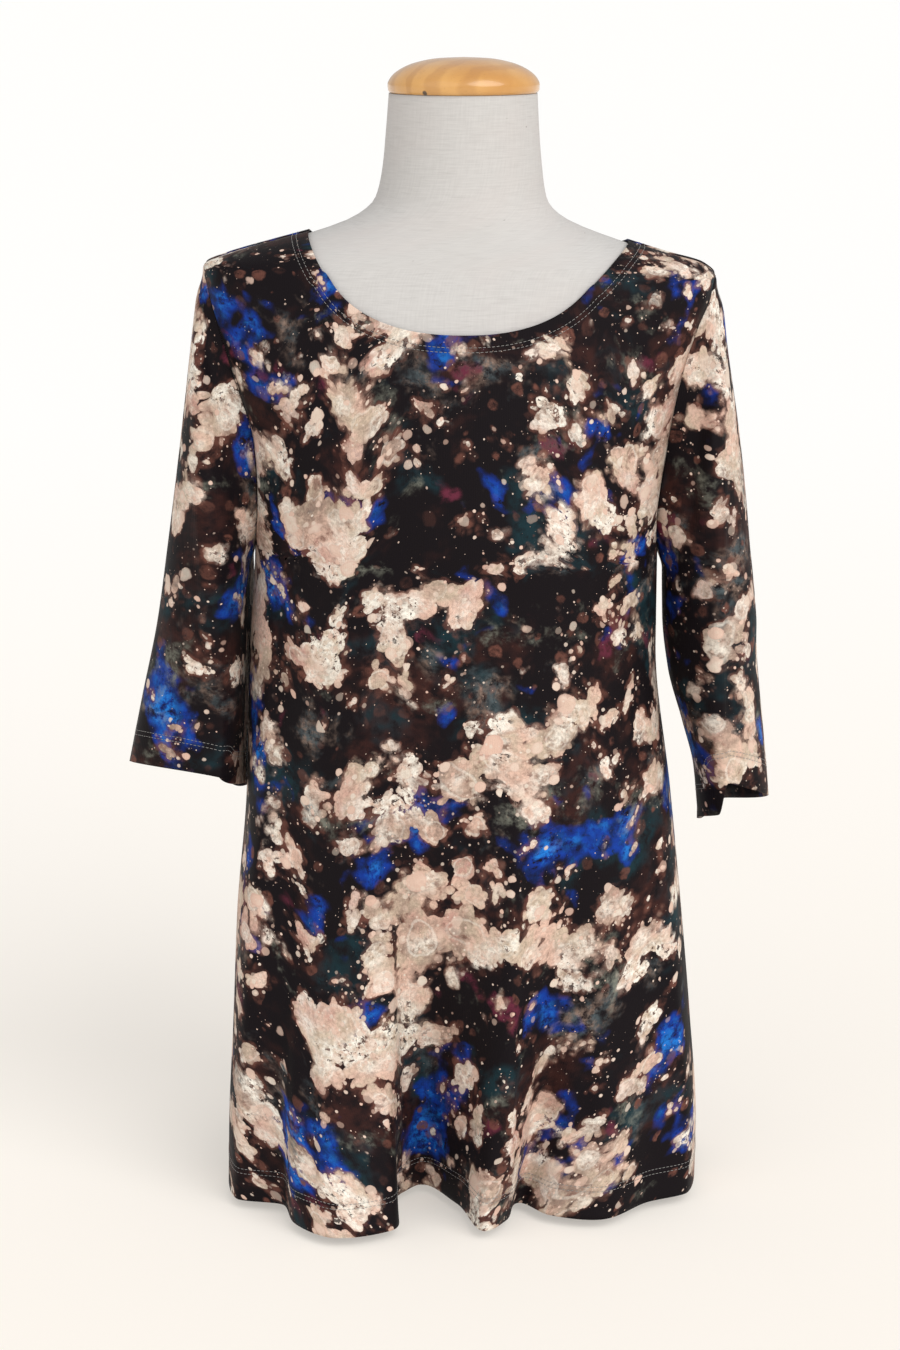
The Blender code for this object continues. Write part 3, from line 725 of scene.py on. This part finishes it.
class Nodes:
    """Short names for the nodes of one material."""

    def __init__(self, name):
        self.material = bpy.data.materials.new(name)
        self.material.use_nodes = True
        self.tree = self.material.node_tree
        self.shader = self.tree.nodes["Principled BSDF"]

    def link(self, value, socket):
        if hasattr(value, "node"):
            self.tree.links.new(value, socket)
        elif isinstance(value, tuple) and len(value) == 3 and len(socket.default_value) == 4:
            socket.default_value = (*value, 1.0)
        else:
            socket.default_value = value

    def give(self, name, value):
        """Set one of the shader's own inputs."""
        self.link(value, self.shader.inputs[name])

    def math(self, operation, a, b=0.0, c=0.0, clamp=False):
        node = self.tree.nodes.new("ShaderNodeMath")
        node.operation = operation
        node.use_clamp = clamp
        for value, socket in zip((a, b, c), node.inputs):
            self.link(value, socket)
        return node.outputs[0]

    def times(self, a, b):
        return self.math("MULTIPLY", a, b)

    def less(self, a, b):
        return self.math("SUBTRACT", a, b)

    def vector(self, operation, a, b=(0.0, 0.0, 0.0)):
        node = self.tree.nodes.new("ShaderNodeVectorMath")
        node.operation = operation
        self.link(a, node.inputs[0])
        self.link(b, node.inputs[1])
        return node.outputs[0]

    def scaled(self, a, factor):
        node = self.tree.nodes.new("ShaderNodeVectorMath")
        node.operation = "SCALE"
        self.link(a, node.inputs[0])
        self.link(factor, node.inputs["Scale"])
        return node.outputs[0]

    def mix(self, factor, a, b, blend="MIX"):
        node = self.tree.nodes.new("ShaderNodeMix")
        node.data_type = "RGBA"
        node.blend_type = blend
        self.link(factor, node.inputs[0])
        self.link(a, node.inputs[6])
        self.link(b, node.inputs[7])
        return node.outputs[2]

    def step(self, value, low, high):
        """0 below low, 1 above high, smooth between."""
        node = self.tree.nodes.new("ShaderNodeMapRange")
        node.interpolation_type = "SMOOTHSTEP"
        for v, socket in zip((value, low, high, 0.0, 1.0), node.inputs):
            self.link(v, socket)
        return node.outputs[0]

    def uv(self):
        node = self.tree.nodes.new("ShaderNodeUVMap")
        node.uv_map = "UVMap"
        return node.outputs[0]

    def object_place(self):
        return self.tree.nodes.new("ShaderNodeTexCoord").outputs["Object"]

    def attribute(self, name):
        node = self.tree.nodes.new("ShaderNodeAttribute")
        node.attribute_name = name
        return node.outputs["Fac"]

    def noise(self, place, scale, detail=2.0, roughness=0.5, distortion=0.0, colour=False):
        node = self.tree.nodes.new("ShaderNodeTexNoise")
        node.noise_dimensions = "3D"
        self.link(place, node.inputs["Vector"])
        node.inputs["Scale"].default_value = scale
        node.inputs["Detail"].default_value = detail
        node.inputs["Roughness"].default_value = roughness
        node.inputs["Distortion"].default_value = distortion
        return node.outputs[1 if colour else 0]

    def shake(self, place, scale, detail, roughness):
        """A random offset, even about nothing."""
        colour = self.noise(place, scale, detail, roughness, colour=True)
        return self.vector("SUBTRACT", colour, (0.5, 0.5, 0.5))

    def wave(self, place, kind, scale, distortion, detail, detail_scale=1.0):
        node = self.tree.nodes.new("ShaderNodeTexWave")
        node.wave_type = kind
        node.rings_direction = "Z"
        self.link(place, node.inputs["Vector"])
        for name, value in (("Scale", scale), ("Distortion", distortion), ("Detail", detail),
                            ("Detail Scale", detail_scale)):
            node.inputs[name].default_value = value
        return node.outputs["Fac"]

    def depth(self):
        """How far back a point lies, in the object's own measure."""
        part = self.tree.nodes.new("ShaderNodeSeparateXYZ")
        self.link(self.object_place(), part.inputs[0])
        return part.outputs["Y"]

    def cells(self, place, scale, feature="F1"):
        """Distance from the nearest cell's middle, and the cell's random colour."""
        node = self.tree.nodes.new("ShaderNodeTexVoronoi")
        node.voronoi_dimensions = "2D"
        node.feature = feature
        self.link(place, node.inputs["Vector"])
        node.inputs["Scale"].default_value = scale
        part = self.tree.nodes.new("ShaderNodeSeparateColor")
        self.tree.links.new(node.outputs["Color"], part.inputs[0])
        return node.outputs["Distance"], part

    def moved(self, place, x, y):
        return self.vector("ADD", place, (x, y, 0.0))

    def bump(self, height, strength, distance, normal=None):
        node = self.tree.nodes.new("ShaderNodeBump")
        node.inputs["Strength"].default_value = strength
        node.inputs["Distance"].default_value = distance
        self.link(height, node.inputs["Height"])
        if normal is not None:
            self.link(normal, node.inputs["Normal"])
        return node.outputs[0]


def clouds(n, place, x, y, scale, detail, roughness, low, high):
    return n.step(n.noise(n.moved(place, x, y), scale, detail, roughness), low, high)


def spatter_colour(n, place):
    """A free spatter of pale lobed blotches, smoky clouds and round dots on a dark ground."""
    fine = n.shake(place, 170.0, 3.0, 0.6)
    drift = n.vector("ADD", place, n.scaled(n.shake(place, 20.0, 2.0, 0.5), 0.016))
    ragged = n.vector("ADD", drift, n.scaled(fine, 0.0034))
    grain = n.noise(drift, 70.0, 5.0, 0.68)
    mottle = n.noise(ragged, 120.0, 6.0, 0.72)
    grit = n.noise(ragged, 380.0, 3.0, 0.70)

    # smoky ground
    brown = clouds(n, drift, 3.1, 7.7, 12.0, 4.0, 0.6, 0.50, 0.63)
    ground = n.mix(n.times(brown, n.step(grain, 0.30, 0.62)), BLACK, DARK_BROWN)
    teal = clouds(n, drift, 9.2, 1.4, 11.0, 4.0, 0.6, 0.53, 0.65)
    ground = n.mix(n.times(teal, n.step(grain, 0.30, 0.56)), ground, TEAL)
    mist = clouds(n, drift, 12.4, 5.7, 12.5, 5.0, 0.62, 0.56, 0.69)
    misty = n.times(mist, n.step(mottle, 0.34, 0.60))
    smoke = n.mix(n.step(grain, 0.40, 0.60), SLATE, n.mix(n.step(teal, 0.1, 0.6), TAUPE, SLATE))
    ground = n.mix(n.times(misty, 0.85), ground, smoke)
    blue = n.noise(n.moved(ragged, 5.3, 2.9), 12.0, 3.0, 0.58)
    blue_tone = n.mix(n.step(grain, 0.36, 0.62), NAVY, ROYAL)
    bright = n.times(n.step(blue, 0.600, 0.700), n.step(mottle, 0.42, 0.60))
    blue_tone = n.mix(bright, blue_tone, AZURE)
    speck = n.step(mottle, 0.34, 0.44)
    blue_mask = n.times(n.step(blue, 0.572, 0.622), speck)
    ground = n.mix(blue_mask, ground, blue_tone)
    sage = clouds(n, drift, 1.7, 12.3, 15.0, 5.0, 0.65, 0.58, 0.70)
    ground = n.mix(n.times(sage, n.step(mottle, 0.36, 0.66)), ground, SAGE)
    wine = clouds(n, ragged, 8.8, 4.4, 18.0, 3.0, 0.5, 0.63, 0.69)
    ground = n.mix(n.times(wine, n.step(mottle, 0.30, 0.62)), ground, BURGUNDY)

    # how pale blotches gather: a slow swell with round lobes of two sizes
    zone = n.noise(n.moved(place, 6.4, 3.6), 4.6, 1.0, 0.5)
    base = n.noise(n.moved(drift, 4.7, 9.4), 12.0, 2.0, 0.5)
    lobe, lobe_cell = n.cells(ragged, 36.0, "SMOOTH_F1")
    small_lobe, _ = n.cells(n.moved(ragged, 1.0, 2.0), 112.0)
    field = n.math("MULTIPLY_ADD", n.less(0.42, lobe), 0.46, base)
    field = n.math("MULTIPLY_ADD", n.less(0.42, small_lobe), 0.15, field)
    field = n.math("MULTIPLY_ADD", n.less(zone, 0.5), 0.50, field)
    blotch = n.step(field, BLOTCH_LEVEL, BLOTCH_LEVEL + 0.010)
    soft_side = clouds(n, place, 2.9, 13.1, 12.0, 2.0, 0.5, 0.50, 0.60)
    haze = n.times(n.step(field, BLOTCH_LEVEL - 0.075, BLOTCH_LEVEL + 0.02),
                  n.step(mottle, 0.36, 0.62))
    blotch = n.math("MAXIMUM", blotch, n.times(haze, soft_side))
    halo = n.times(n.step(field, BLOTCH_LEVEL - 0.090, BLOTCH_LEVEL),
                  n.step(grain, 0.36, 0.64))
    ground = n.mix(n.times(halo, 0.80), ground, MID_BROWN)

    # brown marks
    far, cell = n.cells(n.moved(ragged, 2.2, 5.1), 58.0)
    size = n.times(n.less(cell.outputs[0], 0.60), 0.85)
    spot = n.step(n.less(size, far), -0.06, 0.06)
    deep = n.times(n.step(mottle, 0.30, 0.60), n.math("ADD", cell.outputs[1], 0.1,
                                                                clamp=True))
    ground = n.mix(n.times(spot, deep), ground, MID_BROWN)

    # inside the blotches
    tone = n.noise(n.moved(drift, 7.1, 0.6), 30.0, 3.0, 0.6)
    pale = n.mix(n.step(tone, 0.40, 0.60), PEACH, BEIGE)
    rosy = n.times(n.step(lobe_cell.outputs[0], 0.55, 0.9), n.step(mottle, 0.35, 0.6))
    pale = n.mix(rosy, pale, ROSE)
    dull = n.noise(n.moved(drift, 11.6, 6.1), 13.0, 4.0, 0.6)
    pale = n.mix(n.times(n.step(dull, 0.46, 0.60), n.step(mottle, 0.72, 0.40)), pale,
                 TAUPE)
    pale = n.mix(n.times(n.step(dull, 0.60, 0.70), n.step(grain, 0.66, 0.44)), pale,
                 SLATE)
    heart = n.times(n.step(lobe, 0.42, 0.10), n.step(lobe_cell.outputs[1], 0.3, 0.7))
    cream = clouds(n, drift, 2.6, 8.1, 13.0, 4.0, 0.65, 0.50, 0.60)
    milky = n.math("MAXIMUM", n.times(heart, 0.75), cream)
    pale = n.mix(n.times(milky, n.step(mottle, 0.36, 0.58)), pale, CREAM)
    stain = n.times(n.step(grain, 0.55, 0.68), n.step(cream, 0.9, 0.3))
    pale = n.mix(n.times(stain, 0.65), pale, MID_BROWN)
    ring = n.math("ABSOLUTE", n.less(lobe, 0.27))
    ring = n.times(n.step(ring, 0.045, 0.010), lobe_cell.outputs[2])
    pale = n.mix(n.times(ring, 0.45), pale, CREAM)
    shade = n.math("MULTIPLY_ADD", n.step(grit, 0.32, 0.66), 0.34, 0.76)
    pale = n.mix(1.0, pale, grey_of(n, shade), "MULTIPLY")
    rim = n.step(field, BLOTCH_LEVEL + 0.032, BLOTCH_LEVEL + 0.006)
    pale = n.mix(n.times(rim, 0.25), pale, MID_BROWN)
    flakes = n.times(clouds(n, ragged, 3.9, 1.1, 170.0, 4.0, 0.7, 0.560, 0.585),
                     n.step(cream, 0.3, 0.9))
    blotch = n.times(blotch, n.less(1.0, n.times(flakes, 0.9)))
    colour = n.mix(blotch, ground, pale)

    # round dots, thicker where the blotches gather
    near = n.times(n.less(field, BLOTCH_LEVEL - 0.03), 0.9)
    soft = n.vector("ADD", place, n.scaled(fine, 0.0014))
    for scale, start, reach, x in ((36.0, 0.78, 1.20, 5.2), (70.0, 0.66, 0.90, 0.3),
                                   (140.0, 0.72, 1.05, 1.9), (300.0, 0.82, 1.40, 3.3)):
        far, cell = n.cells(n.moved(soft, x, 2.0 * x), scale)
        size = n.times(n.less(cell.outputs[0], start), reach)
        size = n.math("MINIMUM", n.math("ADD", size, near), 0.34)
        dot = n.step(n.less(size, far), -0.02, 0.02)
        edge = n.step(n.less(size, far), 0.09, 0.01)
        tint = n.mix(cell.outputs[1], PEACH, n.mix(mottle, BEIGE, CREAM))
        tint = n.mix(n.times(edge, 0.35), tint, ROSE)
        dull = n.math("MULTIPLY_ADD", cell.outputs[2], 0.85, 0.25, clamp=True)
        colour = n.mix(n.times(dot, dull), colour, tint)
    return colour


def grey_of(n, value):
    node = n.tree.nodes.new("ShaderNodeCombineColor")
    for socket in node.inputs[:3]:
        n.link(value, socket)
    return node.outputs[0]


def knit_bump(n, place):
    """Fine upright ribs of the knit and its small unevenness."""
    ribs = n.bump(n.wave(place, "BANDS", 180.0, 1.5, 1.0), 0.22, 0.0003)
    slack = n.noise(place, 38.0, 3.0, 0.5)
    return n.bump(slack, 0.25, 0.0012, ribs)


def jersey_material(name, inside=False):
    n = Nodes(name)
    place = n.uv()
    colour = spatter_colour(n, place)
    fuzz = n.noise(place, 1300.0, 2.0, 0.6)
    colour = n.mix(1.0, colour, grey_of(n, n.math("MULTIPLY_ADD", fuzz, 0.30, 0.85)), "MULTIPLY")
    # the inside face is darkened towards near-black: partly the duller reverse of the print, partly
    # painted shade inside the sleeves and under the hems
    if inside:
        colour = n.mix(0.62, colour, (0.020, 0.018, 0.024))
    n.give("Base Color", colour)
    n.give("Roughness", n.math("MULTIPLY_ADD", fuzz, 0.16, 0.60))
    n.give("Specular IOR Level", 0.12)
    n.give("Sheen Weight", 0.015)
    n.give("Sheen Roughness", 0.40)
    normal = knit_bump(n, place)
    past = n.attribute("hem")
    band = n.less(1.0, n.step(past, 0.0010, 0.0034))
    first = n.math("ABSOLUTE", n.less(past, ROW_APART / 2.0))
    second = n.math("ABSOLUTE", n.math("ADD", past, ROW_APART / 2.0))
    row = n.math("MINIMUM", first, second)
    groove = n.step(row, 0.0, 0.0011)
    normal = n.bump(n.math("ADD", band, groove), 0.55, 0.0005, normal)
    n.give("Normal", normal)
    return n.material


def thread_material():
    n = Nodes("grey_thread")
    place = n.object_place()
    twist = n.noise(place, 2600.0, 2.0, 0.5)
    n.give("Base Color", n.mix(twist, (0.20, 0.19, 0.185), (0.36, 0.35, 0.335)))
    n.give("Roughness", n.math("MULTIPLY_ADD", twist, 0.2, 0.45))
    n.give("Normal", n.bump(twist, 0.3, 0.0001))
    return n.material


def linen_material():
    n = Nodes("slubbed_linen")
    place = n.uv()
    across = n.vector("MULTIPLY", place, (55.0, 800.0, 0.0))
    upright = n.vector("MULTIPLY", place, (800.0, 55.0, 0.0))
    weft = n.noise(across, 1.0, 2.0, 0.55)
    warp = n.noise(upright, 1.0, 2.0, 0.55)
    slub = n.step(n.noise(n.vector("MULTIPLY", place, (45.0, 520.0, 0.0)), 1.0, 2.0, 0.5),
                  0.58, 0.74)
    cloud = n.noise(place, 9.0, 3.0, 0.55)
    weave = n.math("ADD", n.times(weft, 0.6), n.times(warp, 0.4))
    colour = n.mix(n.step(weave, 0.30, 0.70), (0.522, 0.508, 0.496), (0.592, 0.578, 0.564))
    colour = n.mix(n.times(slub, 0.35), colour, (0.440, 0.428, 0.418))
    colour = n.mix(n.times(n.step(cloud, 0.40, 0.70), 0.35), colour,
                   (0.580, 0.528, 0.510))
    far, cell = n.cells(place, 48.0)
    nub = n.step(n.less(n.times(n.less(cell.outputs[0], 0.93), 0.55), far), 0.0, 0.012)
    colour = n.mix(n.times(nub, 0.6), colour, (0.20, 0.17, 0.15))
    beside = n.math("ABSOLUTE", n.depth())
    # painted shade: a darker line along the seam over the form's shoulders and sides, where its
    # groove lies; the groove and the welt beside it are also bumps below
    seam = n.step(beside, 0.0011, 0.0003)
    colour = n.mix(n.times(seam, 0.45), colour, (0.40, 0.375, 0.345))
    n.give("Base Color", colour)
    n.give("Roughness", n.math("MULTIPLY_ADD", weave, 0.12, 0.78))
    n.give("Specular IOR Level", 0.22)
    n.give("Sheen Weight", 0.05)
    height = n.math("ADD", weave, n.times(slub, 0.5))
    welt = n.less(n.step(beside, 0.0040, 0.0014), n.times(seam, 1.6))
    normal = n.bump(height, 0.35, 0.0004)
    n.give("Normal", n.bump(welt, 0.8, 0.0008, normal))
    return n.material


def wood_material():
    n = Nodes("honey_varnished_wood")
    place = n.object_place()
    bent = n.vector("ADD", place, n.scaled(n.shake(place, 18.0, 2.0, 0.5), 0.030))
    rings = n.wave(n.moved(bent, 0.100, -0.060), "RINGS", 15.0, 3.0, 3.0, 1.6)
    broad = n.noise(bent, 22.0, 3.0, 0.5)
    pores = n.noise(n.vector("MULTIPLY", bent, (420.0, 900.0, 900.0)), 1.0, 3.0, 0.6)
    colour = n.mix(n.step(broad, 0.35, 0.65), (0.575, 0.272, 0.062), (0.680, 0.362, 0.106))
    colour = n.mix(n.times(n.step(rings, 0.55, 0.95), 0.45), colour,
                   (0.450, 0.200, 0.048))
    colour = n.mix(n.times(n.step(pores, 0.58, 0.72), 0.30), colour,
                   (0.330, 0.150, 0.045))
    chip = n.tree.nodes.new("ShaderNodeVectorMath")
    chip.operation = "DISTANCE"
    n.link(place, chip.inputs[0])
    chip.inputs[1].default_value = (-0.0290, -0.0490, 0.8700)
    dark = n.less(1.0, n.step(chip.outputs["Value"], 0.0014, 0.0026))
    colour = n.mix(n.times(dark, 0.92), colour, (0.030, 0.016, 0.010))
    n.give("Base Color", colour)
    n.give("Roughness", n.math("MULTIPLY_ADD", pores, 0.15, 0.26))
    n.give("Coat Weight", 0.7)
    n.give("Coat Roughness", 0.10)
    n.give("Normal", n.bump(pores, 0.10, 0.0002))
    return n.material


def floor_material():
    """A pale floor that warms a little towards the viewer and glows a little, a painted light that
    pales the cast shadows on it.
    """
    n = Nodes("pale_floor_painted_glow")
    near = n.step(n.depth(), 4.5, -0.6)
    n.give("Base Color", n.mix(near, (0.585, 0.582, 0.575), (0.588, 0.558, 0.519)))
    # painted light: the floor glows with its own colours, so the shadows cast on it come out paler
    n.give("Emission Color", n.mix(near, (0.975, 0.970, 0.958), (0.980, 0.930, 0.865)))
    n.give("Emission Strength", 0.42)
    n.give("Roughness", 0.9)
    n.give("Specular IOR Level", 0.05)
    return n.material


# Pieces

def make_panel(face, grid, materials):
    flip = face == "back"
    normals = grid_normals(grid, False, flip)
    x, z = grid[..., 0], grid[..., 2]
    relief = crease_relief(x, z, FRONT_CREASES if face == "front" else BACK_CREASES)
    sides = np.minimum(distance_to(grid, grid[:, 0]), distance_to(grid, grid[:, -1]))
    neck = distance_to(grid, grid[-1])
    bottom = distance_to(grid, grid[0])
    quiet = ease_in(sides / 0.012) * ease_in(neck / 0.015)
    shape = grid + normals * (relief * quiet + seam_dip(sides))[..., None]
    uv = arc_uv(shape, False, (0.0, 0.0) if face == "front" else (1.7, 0.4))
    marks = {"hem": hem_mark(((neck, NECK_STITCH), (bottom, HEM_STITCH)))}
    piece = grid_piece(face + "_panel", shape, uv, marks, materials, flip=flip)
    normals = grid_normals(shape, False, flip)
    lines = []
    for shift in (-ROW_APART / 2.0, ROW_APART / 2.0):
        lines.append(stitch_line(shape, normals, neck, NECK_STITCH + shift, True, False))
        lines.append(stitch_line(shape, normals, bottom, HEM_STITCH + shift, False, False))
    return piece, lines


def make_sleeve(side, grids, materials):
    grid, armhole_normal = sleeve_grid(side, grids)
    half = grid.shape[1] // 2
    grid, armhole_normal = np.roll(grid, half, axis=1), np.roll(armhole_normal, half, axis=0)
    flip = side == "left"
    normals = grid_normals(grid, True, flip)
    top = distance_to(grid, np.vstack((grid[0], grid[0][:1])))
    hem = distance_to(grid, np.vstack((grid[-1], grid[-1][:1])))
    relief = np.zeros(top.shape)
    for face in ("front", "back"):
        here = grid[..., 1] * FACE_SIGN[face] > 0.0
        turned = ease_in(np.abs(grid[..., 1]) / 0.012)
        found = crease_relief(grid[..., 0], grid[..., 2], SLEEVE_CREASES[side, face])
        relief += np.where(here, found * turned, 0.0)
    quiet = ease_in(top / 0.012)
    shape = grid + normals * (relief * quiet)[..., None]
    shape = shape + armhole_normal[None] * seam_dip(top)[..., None]
    uv = tube_uv(shape, side, (3.1, 0.9) if side == "left" else (4.6, 2.3))
    marks = {"hem": hem_mark(((hem, SLEEVE_STITCH),))}
    piece = grid_piece("jersey_sleeve_" + side, shape, uv, marks, materials, closed=True, flip=flip)
    normals = grid_normals(shape, True, flip)
    lines = [stitch_line(shape, normals, hem, SLEEVE_STITCH + shift, True, True)
             for shift in (-ROW_APART / 2.0, ROW_APART / 2.0)]
    return piece, lines


def make_form(material):
    height = np.linspace(0.0, NECK_TOP, FORM_ROWS)
    height = np.repeat(height, FORM_COLUMNS)
    angle = np.tile(2.0 * math.pi * np.arange(FORM_COLUMNS) / FORM_COLUMNS, FORM_ROWS)
    points = ring_point(form_reach, angle, height)
    clear = FORM_CLEARANCE + SHOULDER_CLEARANCE * (points[:, 0] / ARM_PLATE["left"]) ** 4
    covered = 1.0 - ease_in((height - max(NECK_POINT.values())) / 0.012)
    draw = (WALL / 2.0 + clear) * covered
    normal = outward(form_reach, angle, height)
    points = points - normal * draw[:, None]
    points[:, 0] = np.clip(points[:, 0], -ARM_PLATE["left"], ARM_PLATE["right"])
    points[:, 2] = np.clip(points[:, 2], 0.0, NECK_TOP)
    points = points.reshape(FORM_ROWS, FORM_COLUMNS, 3)
    points[0, :, 2] = 0.0
    points[-1, :, 2] = NECK_TOP
    middle_low = np.repeat(points[:1].mean(axis=1, keepdims=True), FORM_COLUMNS, axis=1)
    middle_high = np.repeat(points[-1:].mean(axis=1, keepdims=True), FORM_COLUMNS, axis=1)
    points = np.concatenate((middle_low, points, middle_high), axis=0)
    uv = arc_uv(points, True, (0.0, 0.0))
    uv[..., 1] = uv[..., 1].mean(axis=1, keepdims=True)  # keeps the weft level
    form = grid_piece("dress_form", points, uv, {}, [material], closed=True)
    merge_ends(form)
    return form


def merge_ends(piece):
    """Join the points that share one place at a closed end."""
    weld = piece.modifiers.new("weld", "WELD")
    weld.merge_threshold = 0.00001


def make_cap(material):
    profile = np.array(NECK_CAP_PROFILE)
    steps = np.linalg.norm(np.diff(profile, axis=0), axis=1)
    place = np.concatenate(([0.0], np.cumsum(steps)))
    at = np.linspace(0.0, place[-1], 56)
    radius = curve_through(place, profile[:, 0], at)
    height = curve_through(place, profile[:, 1], at)
    radius = np.append(radius, 0.0)
    height = np.append(height, profile[-1, 1])
    angle = 2.0 * math.pi * np.arange(CAP_COLUMNS) / CAP_COLUMNS
    points = np.stack((radius[:, None] * np.cos(angle), radius[:, None] * np.sin(angle),
                       np.repeat(height[:, None], CAP_COLUMNS, axis=1)), axis=-1)
    uv = arc_uv(points, True, (0.0, 0.0))
    cap = grid_piece("turned_cap", points, uv, {}, [material], closed=True, flip=True)
    merge_ends(cap)
    return cap


def make_floor():
    size = 400.0
    mesh = bpy.data.meshes.new("floor")
    mesh.from_pydata([(-size, -size, 0.0), (size, -size, 0.0), (size, size, 0.0),
                      (-size, size, 0.0)], [], [(0, 1, 2, 3)])
    mesh.materials.append(floor_material())
    placed("floor", mesh)


def make_camera():
    data = bpy.data.cameras.new("camera")
    data.sensor_width = SENSOR
    data.lens = FOCAL_PIXELS / PICTURE_HEIGHT * SENSOR
    data.clip_end = 1000.0
    camera = placed("camera", data)
    camera.location = CAMERA_PLACE
    camera.rotation_euler = (math.pi / 2.0 - CAMERA_PITCH, 0.0, 0.0)
    bpy.context.scene.camera = camera


def soft_sun(name, azimuth, elevation, strength, spread, colour):
    data = bpy.data.lights.new(name, "SUN")
    data.energy = strength
    data.angle = math.radians(spread)
    data.color = colour
    turn = (math.radians(90.0 - elevation), 0.0, math.radians(azimuth))
    placed(name, data).rotation_euler = turn


def make_lights():
    world = bpy.data.worlds.new("pale_studio")
    bpy.context.scene.world = world
    world.use_nodes = True
    background = world.node_tree.nodes["Background"]
    background.inputs["Color"].default_value = (1.0, 0.995, 0.985, 1.0)
    background.inputs["Strength"].default_value = 0.60
    soft_sun("key", 40.0, 38.0, 1.80, 50.0, (1.0, 0.99, 0.97))
    soft_sun("fill", -40.0, 30.0, 0.40, 60.0, (0.98, 0.99, 1.0))
    bpy.context.scene.view_settings.view_transform = "Standard"


def dress(piece, node):
    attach(piece, "root")
    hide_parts(node)


def main():
    make_camera()
    make_lights()
    make_floor()
    jersey = [jersey_material("spatter_jersey"), jersey_material("jersey_reverse_with_painted_shade", True)]
    thread = thread_material()
    grids = {face: panel_grid(face) for face in ("front", "back")}
    form = make_form(linen_material())
    dress(form, "form_body")
    dress(make_cap(wood_material()), "neck_cap")
    made = {face: make_panel(face, grids[face], jersey) for face in ("front", "back")}
    for side in ("left", "right"):
        made["sleeve_" + side] = make_sleeve(side, grids, jersey)
    for name, (piece, lines) in made.items():
        dress(piece, name)
        thicken(piece)
        sewing = stitches(name + "_stitching", lines, thread)


main()
